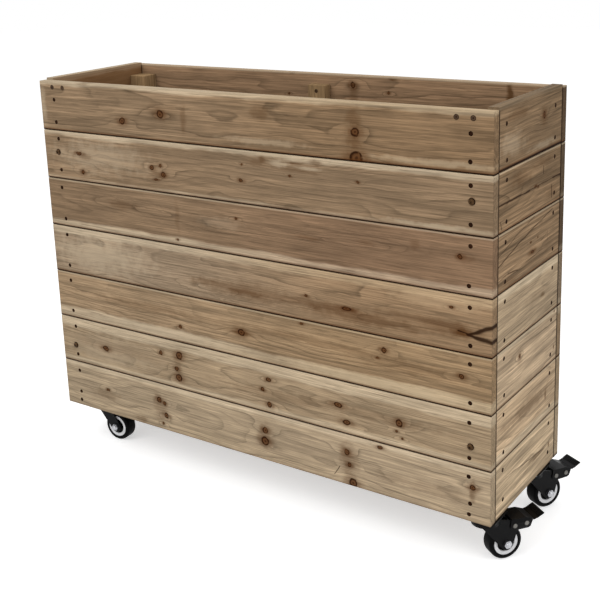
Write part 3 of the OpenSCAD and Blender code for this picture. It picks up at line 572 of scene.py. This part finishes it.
rightLooks = [
    {"tone": ink(122, 99, 74), "pith": (0, 60, -60), "ring": 7.0, "topHighlight": 0.1, "rimShade": 0.78,
     "knots": [(204, 11, 6.5, 0.7)],
     "smudges": [(204, 8, 22, 24, 0.3), (90, 30, 70, 10, 0.35)],
     "pales": [(200, -38, 70, 8, 0.3), (70, -14, 60, 22, 0.25)]},
    {"tone": ink(126, 102, 76), "pith": (0, 36, 20), "ring": 6.0, "wander": 4.0,
     "knots": [(172, -2, 2.5, 1.6), (182, -5, 1.8, 1.4)],
     "cracks": [(20, -3, 145, -4, 2.4), (145, -4, 248, -3, 0.8), (248, -3, 290, -4, 2.4),
         (205, 27, 205, 13, 1.6), (244, -15, 244, -38, 1.6), (28, -30, 34, -44, 1.2)],
     "smudges": [(110, 24, 60, 16, 0.3), (200, 34, 60, 10, 0.3), (240, -26, 30, 12, 0.25)]},
    {"tone": ink(135, 110, 83), "pith": (0, 34, -70), "ring": 10.0, "wander": 6.0, "crackTone": 0.7,
     "cracks": [(18, -4, 115, 19, 1.8), (115, 19, 250, 42, 1.6), (20, -27, 60, -24, 1.0),
         (60, -24, 100, -28, 2.0), (100, -28, 207, -21, 1.0), (20, 14, 110, 36, 0.9), (110, 36, 170, 47, 0.8),
         (229, 8, 229, -10, 1.2), (200, -4, 229, 4, 0.9)],
     "smudges": [(163, -13, 24, 8, 0.35), (60, -38, 50, 8, 0.25)],
     "knots": [(163, -14, 3, 2.2), (155, 5, 1.8, 1.4), (186, 7, 1.6, 1.2)]},
    {"tone": ink(164, 142, 114), "pith": (0, 56, 40), "ring": 7.0, "sapTop": 14,
     "smudges": [(214, -4, 14, 6, 0.55), (190, 2, 60, 14, 0.15)]},
    {"tone": ink(177, 153, 124), "pith": (0, 60, -30), "ring": 8.0, "sapTop": 8,
     "knots": [(115, 15, 4.5, 0.7)],
     "smudges": [(115, 12, 14, 20, 0.25), (272, 47, 4, 5, 0.8), (272, -22, 4, 6, 0.8)]},
    {"tone": ink(181, 155, 124), "pith": (0, 48, 30), "ring": 7.0, "sapBottom": 18,
     "smudges": [(150, 8, 130, 16, 0.35), (236, -3, 5, 13, 0.65)]},
    {"tone": ink(186, 162, 131), "pith": (0, 44, -10), "ring": 8.0, "bottomLine": 0.25, "wander": 7.0,
     "crackTone": 0.5,
     "cracks": [(36, 14, 90, 10, 1.0), (90, 10, 150, 2, 1.3), (150, 2, 236, -8, 1.8), (140, -17, 190, -13, 1.0),
         (190, -13, 236, -8, 1.6)],
     "smudges": [(200, -7, 50, 7, 0.35), (258, -10, 5, 7, 0.7)]},
]
backLook = {"tone": ink(143, 114, 86), "pith": (0, -60, 40), "ring": 7.5,
    "knots": [(420, 6, 2.5, 1.0), (573, 31, 7, 0.8), (653, 19, 3, 1.0)],
    "smudges": [(902, 24, 9, 34, 0.85), (664, 46, 14, 4, 0.7), (430, 48, 10, 3, 0.6), (573, 10, 14, 30, 0.4)]}
rowSet = {  # for each row of boards, from the rim down
    # level at the front and at the back end
    "rightLevelAlong": [(1.22, 0.96), (1.22, 1.0), (1.18, 0.98), (1.16, 0.98), (1.14, 0.98), (1.08, 1.02), (1.0, 1.08)],
    "rightBold": [0.15, 0.26, 0.28, 0.08, 0.14, 0.2, 0.22],
    # level of the back boards' end grain: darker than plain end grain, darkest in the top rows, as painted shadow
    "backEnd": [0.34, 0.36, 0.44, 0.6, 0.75, 0.82, 0.84],
    "topStand": 4.0,  # mm that the top end boards stand above the front and back
    "leftInner": 0.6,
    # strength of the highlight painted along the left boards' top edge
    "leftTopHighlight": 0.15,
}
otherSet = {"knots": (2, 6), "size": (2.5, 8.5), "toneSpread": 0.12, "seed": 41}


# A board that the photograph hides: the same wood, with knots of its own
def otherLook(seed, length, tone):
    rng = random.Random(otherSet["seed"] * 100 + seed)
    level = 1 + rng.uniform(-1, 1) * otherSet["toneSpread"]
    count = max(1, round(rng.randint(*otherSet["knots"]) * length / 1000))
    knots = [(rng.uniform(30, length - 30), rng.uniform(-44, 44), rng.uniform(*otherSet["size"]),
              rng.uniform(0.9, 1.5)) for _ in range(count)]
    smudges = [(x + rng.uniform(-20, 20), z, radius * rng.uniform(4, 9), radius * 1.6, 0.3)
               for x, z, radius, _ in knots]
    return {"tone": scaled(tone, level),
            "pith": (0, rng.uniform(36, 75) * rng.choice((-1, 1)), rng.uniform(-60, 60)),
            "ring": rng.uniform(5.5, 9), "knots": knots, "smudges": smudges,
            rng.choice(("sapTop", "sapBottom")): rng.uniform(5, 18)}


# Side boards: one tree sweeps a rounded section along the grain and roughens it inwards
boardSet = {
    "round": 0.0010,
    "rough": 0.00035,  # at most this far inwards, on the faces
    "edgeRough": 0.6,  # this many times more at the edges
    "edgeFrom": 0.47,  # share of the width where the edges start
    "roughScale": (14.0, 60.0, 40.0),
    "steps": 84,
    "seamCloser": 0.0004,  # each board grows this much towards its neighbour, for a dark seam
}


def buildBoardTree(look):
    tree = bpy.data.node_groups.new("sawnBoard", "GeometryNodeTree")
    kinds = {"Length": "Float", "Width": "Float", "Thickness": "Float", "Round": "Float", "Rough": "Float",
             "Edge Rough": "Float", "Seed": "Float", "Centre": "Vector", "Turn": "Vector", "Finish": "Material"}
    sockets = {label: tree.interface.new_socket(label, in_out="INPUT", socket_type="NodeSocket" + kind).identifier
               for label, kind in kinds.items()}
    tree.interface.new_socket("Geometry", in_out="OUTPUT", socket_type="NodeSocketGeometry")
    given = tree.nodes.new("NodeGroupInput").outputs

    def step(kind, inputs, **settings):
        return addNode(tree, "GeometryNode" + kind, inputs, **settings).outputs[0]

    half = product(tree, given["Length"], 0.5)
    ends = {"Start": combined(tree, product(tree, half, -1.0)), "End": combined(tree, half)}
    line = step("ResampleCurve", {"Curve": step("CurvePrimitiveLine", ends), "Count": look["steps"]})
    line = step("SetCurveNormal", {"Curve": line}, mode="Z_UP")
    section = step("CurvePrimitiveQuadrilateral", {"Width": given["Thickness"], "Height": given["Width"]})
    section = step("FilletCurve", {"Curve": section, "Radius": given["Round"], "Count": 3}, mode="POLY")
    swept = step("CurveToMesh", {"Curve": line, "Profile Curve": section, "Fill Caps": True})
    spot = step("InputPosition", {})
    seed = combined(tree, given["Seed"], product(tree, given["Seed"], 3.1))
    rough = vectorMaths(tree, "ADD", vectorMaths(tree, "MULTIPLY", spot, look["roughScale"]), seed)
    limit = product(tree, given["Width"], look["edgeFrom"])
    onEdge = maths(tree, "GREATER_THAN", maths(tree, "ABSOLUTE", separated(tree, spot)[2]), limit)
    more = maths(tree, "ADD", 1.0, product(tree, onEdge, given["Edge Rough"]))
    depth = product(tree, product(tree, given["Rough"], more), noise(tree, rough, 1.0, 3.0))
    normal = vectorMaths(tree, "MULTIPLY", step("InputNormal", {}), (0.3, 1.0, 1.0))
    inward = vectorScaled(tree, normal, product(tree, depth, -1.0))
    moved = step("SetPosition", {"Geometry": swept, "Offset": inward})
    placed = step("Transform", {"Geometry": moved, "Translation": given["Centre"], "Rotation": given["Turn"]})
    real = step("RealizeInstances", {"Geometry": placed})
    done = step("SetMaterial", {"Geometry": real, "Material": given["Finish"]})
    tree.links.new(done, tree.nodes.new("NodeGroupOutput").inputs[0])
    return tree, sockets


def flatten(piece):
    graph = bpy.context.evaluated_depsgraph_get()
    mesh = bpy.data.meshes.new_from_object(piece.evaluated_get(graph), depsgraph=graph)
    piece.modifiers.clear()
    piece.data = mesh
    return piece


def mergedMesh(node):
    mesh = bmesh.new()
    mesh.from_mesh(frame["nodes"][node].data)
    bmesh.ops.remove_doubles(mesh, verts=mesh.verts, dist=1e-6)
    return mesh


# The groups of points that hang together
def islandsOf(mesh):
    found, seen = [], set()
    for vert in mesh.verts:
        if vert in seen:
            continue
        island, queue = [], [vert]
        seen.add(vert)
        while queue:
            here = queue.pop()
            island.append(here)
            for edge in here.link_edges:
                other = edge.other_vert(here)
                if other not in seen:
                    seen.add(other)
                    queue.append(other)
        found.append(island)
    return found


def boxesOf(node):
    mesh = mergedMesh(node)
    boxes = [tuple(Vector(end(v.co[i] for v in island) for i in range(3)) for end in (min, max))
             for island in islandsOf(mesh)]
    mesh.free()
    return boxes


# The bruised hole round each nail, screw and bolt head, with shade painted near-black on its walls
recessSet = {
    "wider": {"nails": 0.0010, "wood_screws": 0.0007, "panel_bolts": 0.0009},  # than the head, all round
    "depth": 0.0015,
    "proudDepth": 0.0006,  # for a head that stands proud of the board
    "sunk": 0.0003,  # a head deeper than this is sunk
    "reach": 0.004,  # a head this near to the face belongs to it
    "past": 0.002,  # or this far past the board's edge
    "taper": 1.08,
    "corners": 16,
    # near-black and dark brown: shade painted in the hole
    "tones": (ink(12, 3, 0), ink(34, 17, 6)),
    "roughness": 0.9,
    "specular": 0.02,
}


def makeRecessShade(look):
    material, tree, shader, spot = newMaterial("recessShade")
    color = mixColor(tree, noise(tree, spot, 700.0, 2.0), *look["tones"])
    feed(tree, shader, {"Base Color": color, "Roughness": look["roughness"], "Specular IOR Level": look["specular"]})
    return material


recessShadeWood = makeRecessShade(recessSet)
heads = [(low, high, wider) for kind, wider in recessSet["wider"].items() for low, high in boxesOf(kind)]


# Cuts the holes into a board from its outer face
def recessCutter(low, high, outward):
    axis = max(range(3), key=lambda i: abs(outward[i]))
    turned = Vector(outward).to_track_quat("Z", "Y").to_matrix().to_4x4()
    past = recessSet["past"]
    mesh = bmesh.new()
    for headLow, headHigh, wider in heads:
        centre = (headLow + headHigh) / 2
        inside = all(low[i] - past < centre[i] < high[i] + past for i in range(3) if i != axis)
        tip, face = (headHigh, high) if outward[axis] > 0 else (headLow, low)
        if not inside or abs(tip[axis] - face[axis]) > recessSet["reach"]:
            continue
        sunk = (face[axis] - tip[axis]) * outward[axis] > recessSet["sunk"]
        depth = recessSet["depth" if sunk else "proudDepth"]
        radius = (headHigh - headLow).z / 2 + wider
        centre[axis] = face[axis]
        bmesh.ops.create_cone(mesh, cap_ends=True, segments=recessSet["corners"], radius1=radius,
                              radius2=radius * recessSet["taper"], depth=2 * depth,
                              matrix=Matrix.Translation(centre) @ turned)
    if not len(mesh.verts):
        mesh.free()
        return None
    data = bpy.data.meshes.new("recess")
    mesh.to_mesh(data)
    mesh.free()
    data.materials.append(recessShadeWood)
    return addObject("recess", data)


boardTree, boardSockets = buildBoardTree(boardSet)


def makeBoard(node, alongX, outward, seed, look):
    low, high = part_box(node)
    low.z -= boardSet["seamCloser"] if not node.endswith("_7") else 0.0
    high.z += boardSet["seamCloser"] if not node.endswith("_1") else 0.0
    along = 0 if alongX else 1
    length = high[along] - low[along]
    turn = (0.0, 0.0, 0.0) if alongX else (0.0, 0.0, math.pi / 2)
    centre = (low + high) / 2
    zero = centre.copy()
    zero[along] = corner[along]
    look = dict(look, seed=float(seed), middle=1000 * (centre - zero)[along])
    finish = boardWood(node + "_wood", zero, turn, 1000 * length, 1000 * boardWidth, look)
    board = addObject(node + "_sawn", bpy.data.meshes.new(node + "_sawn"))
    sweep = board.modifiers.new("sweep", "NODES")
    sweep.node_group = boardTree
    values = {"Length": length, "Width": high.z - low.z, "Thickness": boardThick, "Round": boardSet["round"],
              "Rough": boardSet["rough"], "Edge Rough": boardSet["edgeRough"], "Seed": float(seed),
              "Centre": centre, "Turn": turn, "Finish": finish}
    for label, value in values.items():
        sweep[boardSockets[label]] = value
    cutter = recessCutter(low, high, outward)
    if cutter:
        cut = board.modifiers.new("recesses", "BOOLEAN")
        cut.operation, cut.object, cut.solver, cut.material_mode = "DIFFERENCE", cutter, "EXACT", "TRANSFER"
    flatten(board)
    if not board.data.materials:
        board.data.materials.append(finish)
    if cutter:
        bpy.data.objects.remove(cutter)
    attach(board, "box")
    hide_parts(node)


for row in range(len(frontLooks)):
    number = str(row + 1)
    makeBoard("front_board_" + number, True, (0, -1, 0), row + 1, dict(frontLooks[row], outside=-1.0))
    back = backLook if row == 0 else otherLook(row + 20, 1000 * boxLength, frontLooks[row]["tone"])
    # the back boards' end grain gets painted shadow, strongest in the top rows
    back = dict(back, outside=1.0, endShade=rowSet["backEnd"][row])
    makeBoard("back_board_" + number, True, (0, 1, 0), row + 21, back)
    end = {"between": True, "stand": rowSet["topStand"] if row == 0 else 0.0}
    right = dict(rightLooks[row], bold=rowSet["rightBold"][row], levelAlong=rowSet["rightLevelAlong"][row], **end)
    makeBoard("right_board_" + number, False, (1, 0, 0), row + 41, right)
    left = otherLook(row + 60, 1000 * boxDepth, rightLooks[row]["tone"])
    left = dict(left, inner=rowSet["leftInner"], topHighlight=rowSet["leftTopHighlight"], **end)
    makeBoard("left_board_" + number, False, (-1, 0, 0), row + 61, left)
print("side boards made")


# Battens, floor and rails: the frame's shapes with their long edges eased
def dissolved(node):
    mesh = mergedMesh(node)
    bmesh.ops.dissolve_limit(mesh, angle_limit=math.radians(1), verts=mesh.verts, edges=mesh.edges)
    return mesh


# Eases the sharp edges between faces of the first finish
def easedPiece(name, mesh, look, worn):
    weight = mesh.edges.layers.float.new("bevel_weight_edge")
    for edge in mesh.edges:
        sharp = len(edge.link_faces) == 2 and edge.calc_face_angle(0) > math.radians(look["sharp"])
        edge[weight] = float(sharp and edge.calc_length() > look["shortest"]
                             and edge.link_faces[0].material_index == 0)
    data = bpy.data.meshes.new(name)
    mesh.to_mesh(data)
    mesh.free()
    for finish in worn:
        data.materials.append(finish)
    piece = addObject(name, data)
    bevel = piece.modifiers.new("ease", "BEVEL")
    bevel.limit_method, bevel.width, bevel.segments = "WEIGHT", look["ease"], 2
    return flatten(piece)


battenTone, floorTone = ink(146, 118, 84), ink(124, 100, 76)
timberSet = {
    "ease": 0.0012,
    "sharp": 50,
    "shortest": 0.012,  # shorter edges, such as a bore's, stay sharp
    "size": (4000, 100),  # mm, so long that no end shade falls on a piece
    "turns": {  # of the grain
        "front_battens": (0, -90, 0), "back_battens": (0, -90, 0), "left_battens": (0, -90, 0),
        "right_battens": (0, -90, 0), "bottom_rails": (0, 0, 90), "floor_boards": (90, 0, 0),
        "floor_strips": (90, 0, 0),
    },
    "firstSeed": 81,
}


for seed, (node, turn) in enumerate(timberSet["turns"].items(), timberSet["firstSeed"]):
    turn = tuple(math.radians(angle) for angle in turn)
    tone, slotName = (battenTone, "battens") if node.endswith("battens") else (floorTone, "floor")
    look = dict(otherLook(seed, 1000, tone), seed=float(seed), middle=500.0, edgeLines=False, sapTop=0, sapBottom=0)
    finish = boardWood(node + "_wood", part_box(node)[0], turn, *timberSet["size"], look)
    piece = easedPiece(node + "_eased", dissolved(node), timberSet, [finish])
    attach(piece, "box")
    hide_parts(node)
print("battens and floor made")


# Metal and plastic finishes
def plainFinish(name, tone, rough, metal=0.0, spread=0.25, grainScale=900.0, bump=0.15, dirt=None, specular=0.5):
    material, tree, shader, spot = newMaterial(name)
    fine = noise(tree, spot, grainScale, 3.0, 0.6)
    broad = noise(tree, spot, grainScale / 12, 3.0, 0.6)
    color = mixColor(tree, ramp(tree, broad, 0.3, 0.7), scaled(tone, 1 - spread), scaled(tone, 1 + spread))
    if dirt:
        color = mixColor(tree, ramp(tree, broad, 0.55, 0.8, 0.0, 0.5), color, dirt)
    feed(tree, shader, {
        "Base Color": color,
        "Roughness": ramp(tree, fine, 0.2, 0.8, max(0.02, rough - 0.07), rough + 0.07),
        "Metallic": metal,
        "Specular IOR Level": specular,
        "Normal": bumped(tree, fine, bump, 0.0002),
    })
    return material


finishSet = {
    "blackCoatedSteel": dict(tone=ink(4, 4, 5), rough=0.34, grainScale=1400.0, bump=0.2, specular=0.09),
    "blackRubber": dict(tone=ink(5, 5, 6), rough=0.5, spread=0.3, grainScale=700.0, dirt=ink(22, 20, 19),
                        specular=0.05),
    "blackHubPlastic": dict(tone=ink(7, 7, 8), rough=0.4, spread=0.2, specular=0.05),
    "paleRingPlastic": dict(tone=ink(226, 226, 228), rough=0.35, spread=0.04),
    "brightZinc": dict(tone=ink(182, 183, 187), rough=0.3, metal=1.0, spread=0.12),
    "dullPinZinc": dict(tone=ink(112, 110, 106), rough=0.5, metal=1.0, spread=0.2),
    "dullZinc": dict(tone=ink(68, 48, 30), rough=0.5, metal=0.15, spread=0.3, dirt=ink(36, 22, 12), specular=0.2),
    "bronzedSteel": dict(tone=ink(70, 50, 30), rough=0.4, metal=0.9, spread=0.35, grainScale=2400.0,
                         dirt=ink(16, 11, 7)),
    "darkNailSteel": dict(tone=ink(40, 20, 8), rough=0.7, spread=0.3, dirt=ink(60, 36, 20), specular=0.04),
    "ballSteel": dict(tone=ink(170, 172, 176), rough=0.2, metal=1.0, spread=0.06),
    "greyShoePlastic": dict(tone=ink(52, 52, 54), rough=0.5, spread=0.15),
}
finishes = {name: plainFinish(name, **values) for name, values in finishSet.items()}
casters = ("front_left", "front_right", "rear_left", "rear_right")
wearers = {  # nodes that keep the frame's own shape
    "nails": "darkNailSteel", "wood_screws": "dullZinc", "panel_bolts": "bronzedSteel", "bolt_nuts": "dullZinc",
    "caster_screws": "brightZinc", "caster_plates": "blackCoatedSteel", "swivel_bearings": "ballSteel",
}
for caster in casters:
    wearers[caster + "_yoke"] = "blackCoatedSteel"
    wearers[caster + "_axle"] = "brightZinc"
for node, name in wearers.items():
    frame["nodes"][node].data.materials.clear()
    frame["nodes"][node].data.materials.append(finishes[name])

# Wheels, turned from their outlines: radii, and heights from the wheel's middle
wheelSet = {
    "tyreRadius": 0.0315,
    "tyreWidth": 0.028,
    "shoulder": 0.0055,
    "tyreEdge": 0.0006,
    "rimRadius": 0.0235,
    "tyreGap": 0.00005,
    "rimGap": 0.0004,
    "rimHeight": 0.0090,
    "ringInner": 0.0165,
    "ringFoot": 0.0092,
    "ringHeight": 0.0130,
    "ringEdges": (0.0005, 0.0008),  # outer, inner
    "groove": (0.0205, 0.0202, 0.0197, 0.0194),  # radii of a shallow groove in the ring's face
    "grooveDepth": 0.0004,
    "webHeight": 0.0070,
    "webSlope": 0.001,
    "webGap": 0.0001,
    "bossRadius": 0.009,
    "bossHeight": 0.0126,
    "bossEdge": 0.0008,
    "bore": 0.0064,
    "steps": 96,
}


def lathe(name, outline, centre, axis, finish):
    steps, mesh = wheelSet["steps"], bmesh.new()
    side = axis.orthogonal().normalized()
    other = axis.cross(side)
    rings = []
    for k in range(steps):
        angle = 2 * math.pi * k / steps
        out = side * math.cos(angle) + other * math.sin(angle)
        rings.append([mesh.verts.new(centre + out * radius + axis * height) for radius, height in outline])
    count = len(outline)
    for k in range(steps):
        near, far = rings[k], rings[(k + 1) % steps]
        for i in range(count):
            j = (i + 1) % count
            mesh.faces.new((near[i], near[j], far[j], far[i]))
    bmesh.ops.recalc_face_normals(mesh, faces=mesh.faces)
    for face in mesh.faces:
        face.smooth = True
    data = bpy.data.meshes.new(name)
    mesh.to_mesh(data)
    mesh.free()
    data.materials.append(finish)
    data.set_sharp_from_angle(angle=math.radians(35))
    return addObject(name, data)


def arc(radius, height, size, start, stop, count=7):
    angles = [math.radians(start + (stop - start) * k / (count - 1)) for k in range(count)]
    return [(radius + size * math.cos(angle), height + size * math.sin(angle)) for angle in angles]


def tyreOutline(look):
    half, bend, edge = look["tyreWidth"] / 2, look["shoulder"], look["tyreEdge"]
    inner, outer = look["rimRadius"] + look["tyreGap"], look["tyreRadius"] - bend
    return ([(inner, -half + edge), (inner + edge, -half)]
            + arc(outer, -half + bend, bend, -90, 0) + arc(outer, half - bend, bend, 0, 90)
            + [(inner + edge, half), (inner, half - edge)])


def ringOutline(look):
    outer, inner = look["rimRadius"] - look["rimGap"], look["ringInner"]
    top, foot = look["ringHeight"], look["ringFoot"]
    outerEdge, innerEdge = look["ringEdges"]
    low = top - look["grooveDepth"]
    groove = list(zip(look["groove"], (top, low, low, top)))
    return ([(outer, foot), (outer, top - outerEdge), (outer - outerEdge, top)] + groove
            + [(inner + innerEdge, top), (inner, top - innerEdge), (inner, foot)])


def hubOutline(look):
    boss, high, edge, web = look["bossRadius"], look["bossHeight"], look["bossEdge"], look["webHeight"]
    inner, rim = look["ringInner"], look["rimHeight"]
    half = [(look["bore"], high), (boss - edge, high), (boss, high - edge), (boss + look["webSlope"], web),
            (inner - look["webSlope"], web), (inner - look["webGap"], rim), (look["rimRadius"] - look["rimGap"], rim)]
    return [(radius, -height) for radius, height in half] + half[::-1]


def makeWheel(caster):
    joint = next(j for j in frame["joints"] if j["name"] == caster + "_wheel_roll")
    axis = Vector(joint["axis"]).normalized()
    low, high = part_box(caster + "_tyre")
    centre, body = (low + high) / 2, caster + "_wheel"
    ring = ringOutline(wheelSet)
    farRing = [(radius, -height) for radius, height in ring]
    parts = (  # name, outline, finish, node, slot
        ("_tyre_turned", tyreOutline(wheelSet), "blackRubber", "_tyre", "tyres"),
        ("_ring_near", ring, "paleRingPlastic", "_hub", "hubs"),
        ("_ring_far", farRing, "paleRingPlastic", "_hub", "hubs"),
        ("_hub_turned", hubOutline(wheelSet), "blackHubPlastic", "_hub", "hubs"),
    )
    for name, outline, finish, node, slotName in parts:
        piece = lathe(caster + name, outline, centre, axis, finishes[finish])
        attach(piece, body)
        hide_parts(caster + node)


# The pedal's sheet, pins and shoe each get a finish, told apart by how long they are
pedalSet = {
    "spans": (0.060, 0.036, 0.0),
    "finishes": ("blackCoatedSteel", "dullPinZinc", "greyShoePlastic"),
    "ease": 0.0004,
    "sharp": 40,
    "shortest": 0.0,
}


def makePedal(node, body):
    mesh = dissolved(node)
    for island in islandsOf(mesh):
        points = [v.co for v in island]
        span = max((a - b).length for a in points[::3] for b in points)
        index = next(i for i, least in enumerate(pedalSet["spans"]) if span >= least)
        for face in {f for v in island for f in v.link_faces}:
            face.material_index = index
    worn = [finishes[name] for name in pedalSet["finishes"]]
    pedal = easedPiece(node + "_pressed", mesh, pedalSet, worn)
    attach(pedal, body)
    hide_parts(node)


for caster in casters:
    makeWheel(caster)
for side in ("front_right", "rear_right"):
    makePedal(side + "_brake_pedal", side + "_brake")
print("casters dressed")

# Studio: pale floor, white surroundings, soft lamps
studioSet = {
    "world": 0.62,
    "floorTone": (0.86, 0.86, 0.86, 1.0),
    "floorReach": 9.0,
    "lift": 0.5,  # added to the floor for the camera: white, with a faint shadow
    "lamps": [  # place, size, power
        ((-0.9, -2.4, 2.6), 2.2, 46.0),
        ((2.8, -0.6, 2.2), 1.8, 22.0),
        ((0.2, 1.8, 2.8), 2.0, 16.0),
    ],
}


def seenByCamera(tree):
    path = addNode(tree, "ShaderNodeLightPath").outputs
    seen = maths(tree, "MAXIMUM", path["Is Camera Ray"], path["Is Glossy Ray"])
    return maths(tree, "MAXIMUM", seen, path["Is Transmission Ray"])


def makeWorld(look):
    world = bpy.data.worlds.new("studioWorld")
    bpy.context.scene.world = world
    world.use_nodes = True
    tree = world.node_tree
    tree.nodes.clear()
    soft, white = [addNode(tree, "ShaderNodeBackground", {"Color": (1, 1, 1, 1), "Strength": level}).outputs[0]
                   for level in (look["world"], 1.0)]
    both = addNode(tree, "ShaderNodeMixShader", {0: seenByCamera(tree), 1: soft, 2: white}).outputs[0]
    tree.links.new(both, addNode(tree, "ShaderNodeOutputWorld").inputs[0])


def makeFloor(look):
    mesh = bmesh.new()
    bmesh.ops.create_grid(mesh, x_segments=1, y_segments=1, size=look["floorReach"])
    data = bpy.data.meshes.new("studioFloor")
    mesh.to_mesh(data)
    mesh.free()
    floor = addObject("studioFloor", data)
    material = bpy.data.materials.new("studioFloor")
    material.use_nodes = True
    tree = material.node_tree
    tree.nodes.clear()
    matt = addNode(tree, "ShaderNodeBsdfDiffuse", {"Color": look["floorTone"]}).outputs[0]
    strength = product(tree, seenByCamera(tree), look["lift"])
    glow = addNode(tree, "ShaderNodeEmission", {"Strength": strength}).outputs[0]
    both = addNode(tree, "ShaderNodeAddShader", {0: matt, 1: glow}).outputs[0]
    tree.links.new(both, addNode(tree, "ShaderNodeOutputMaterial").inputs[0])
    data.materials.append(material)


def makeLamps(look):
    aim = (cadBox[0] + cadBox[1]) / 2
    for number, (place, size, power) in enumerate(look["lamps"]):
        data = bpy.data.lights.new("softLamp" + str(number), "AREA")
        data.size, data.energy = size, power
        lamp = addObject("softLamp" + str(number), data)
        lamp.location = place
        lamp.rotation_euler = (aim - Vector(place)).to_track_quat("-Z", "Y").to_euler()


makeWorld(studioSet)
makeFloor(studioSet)
makeLamps(studioSet)
print("studio ready")
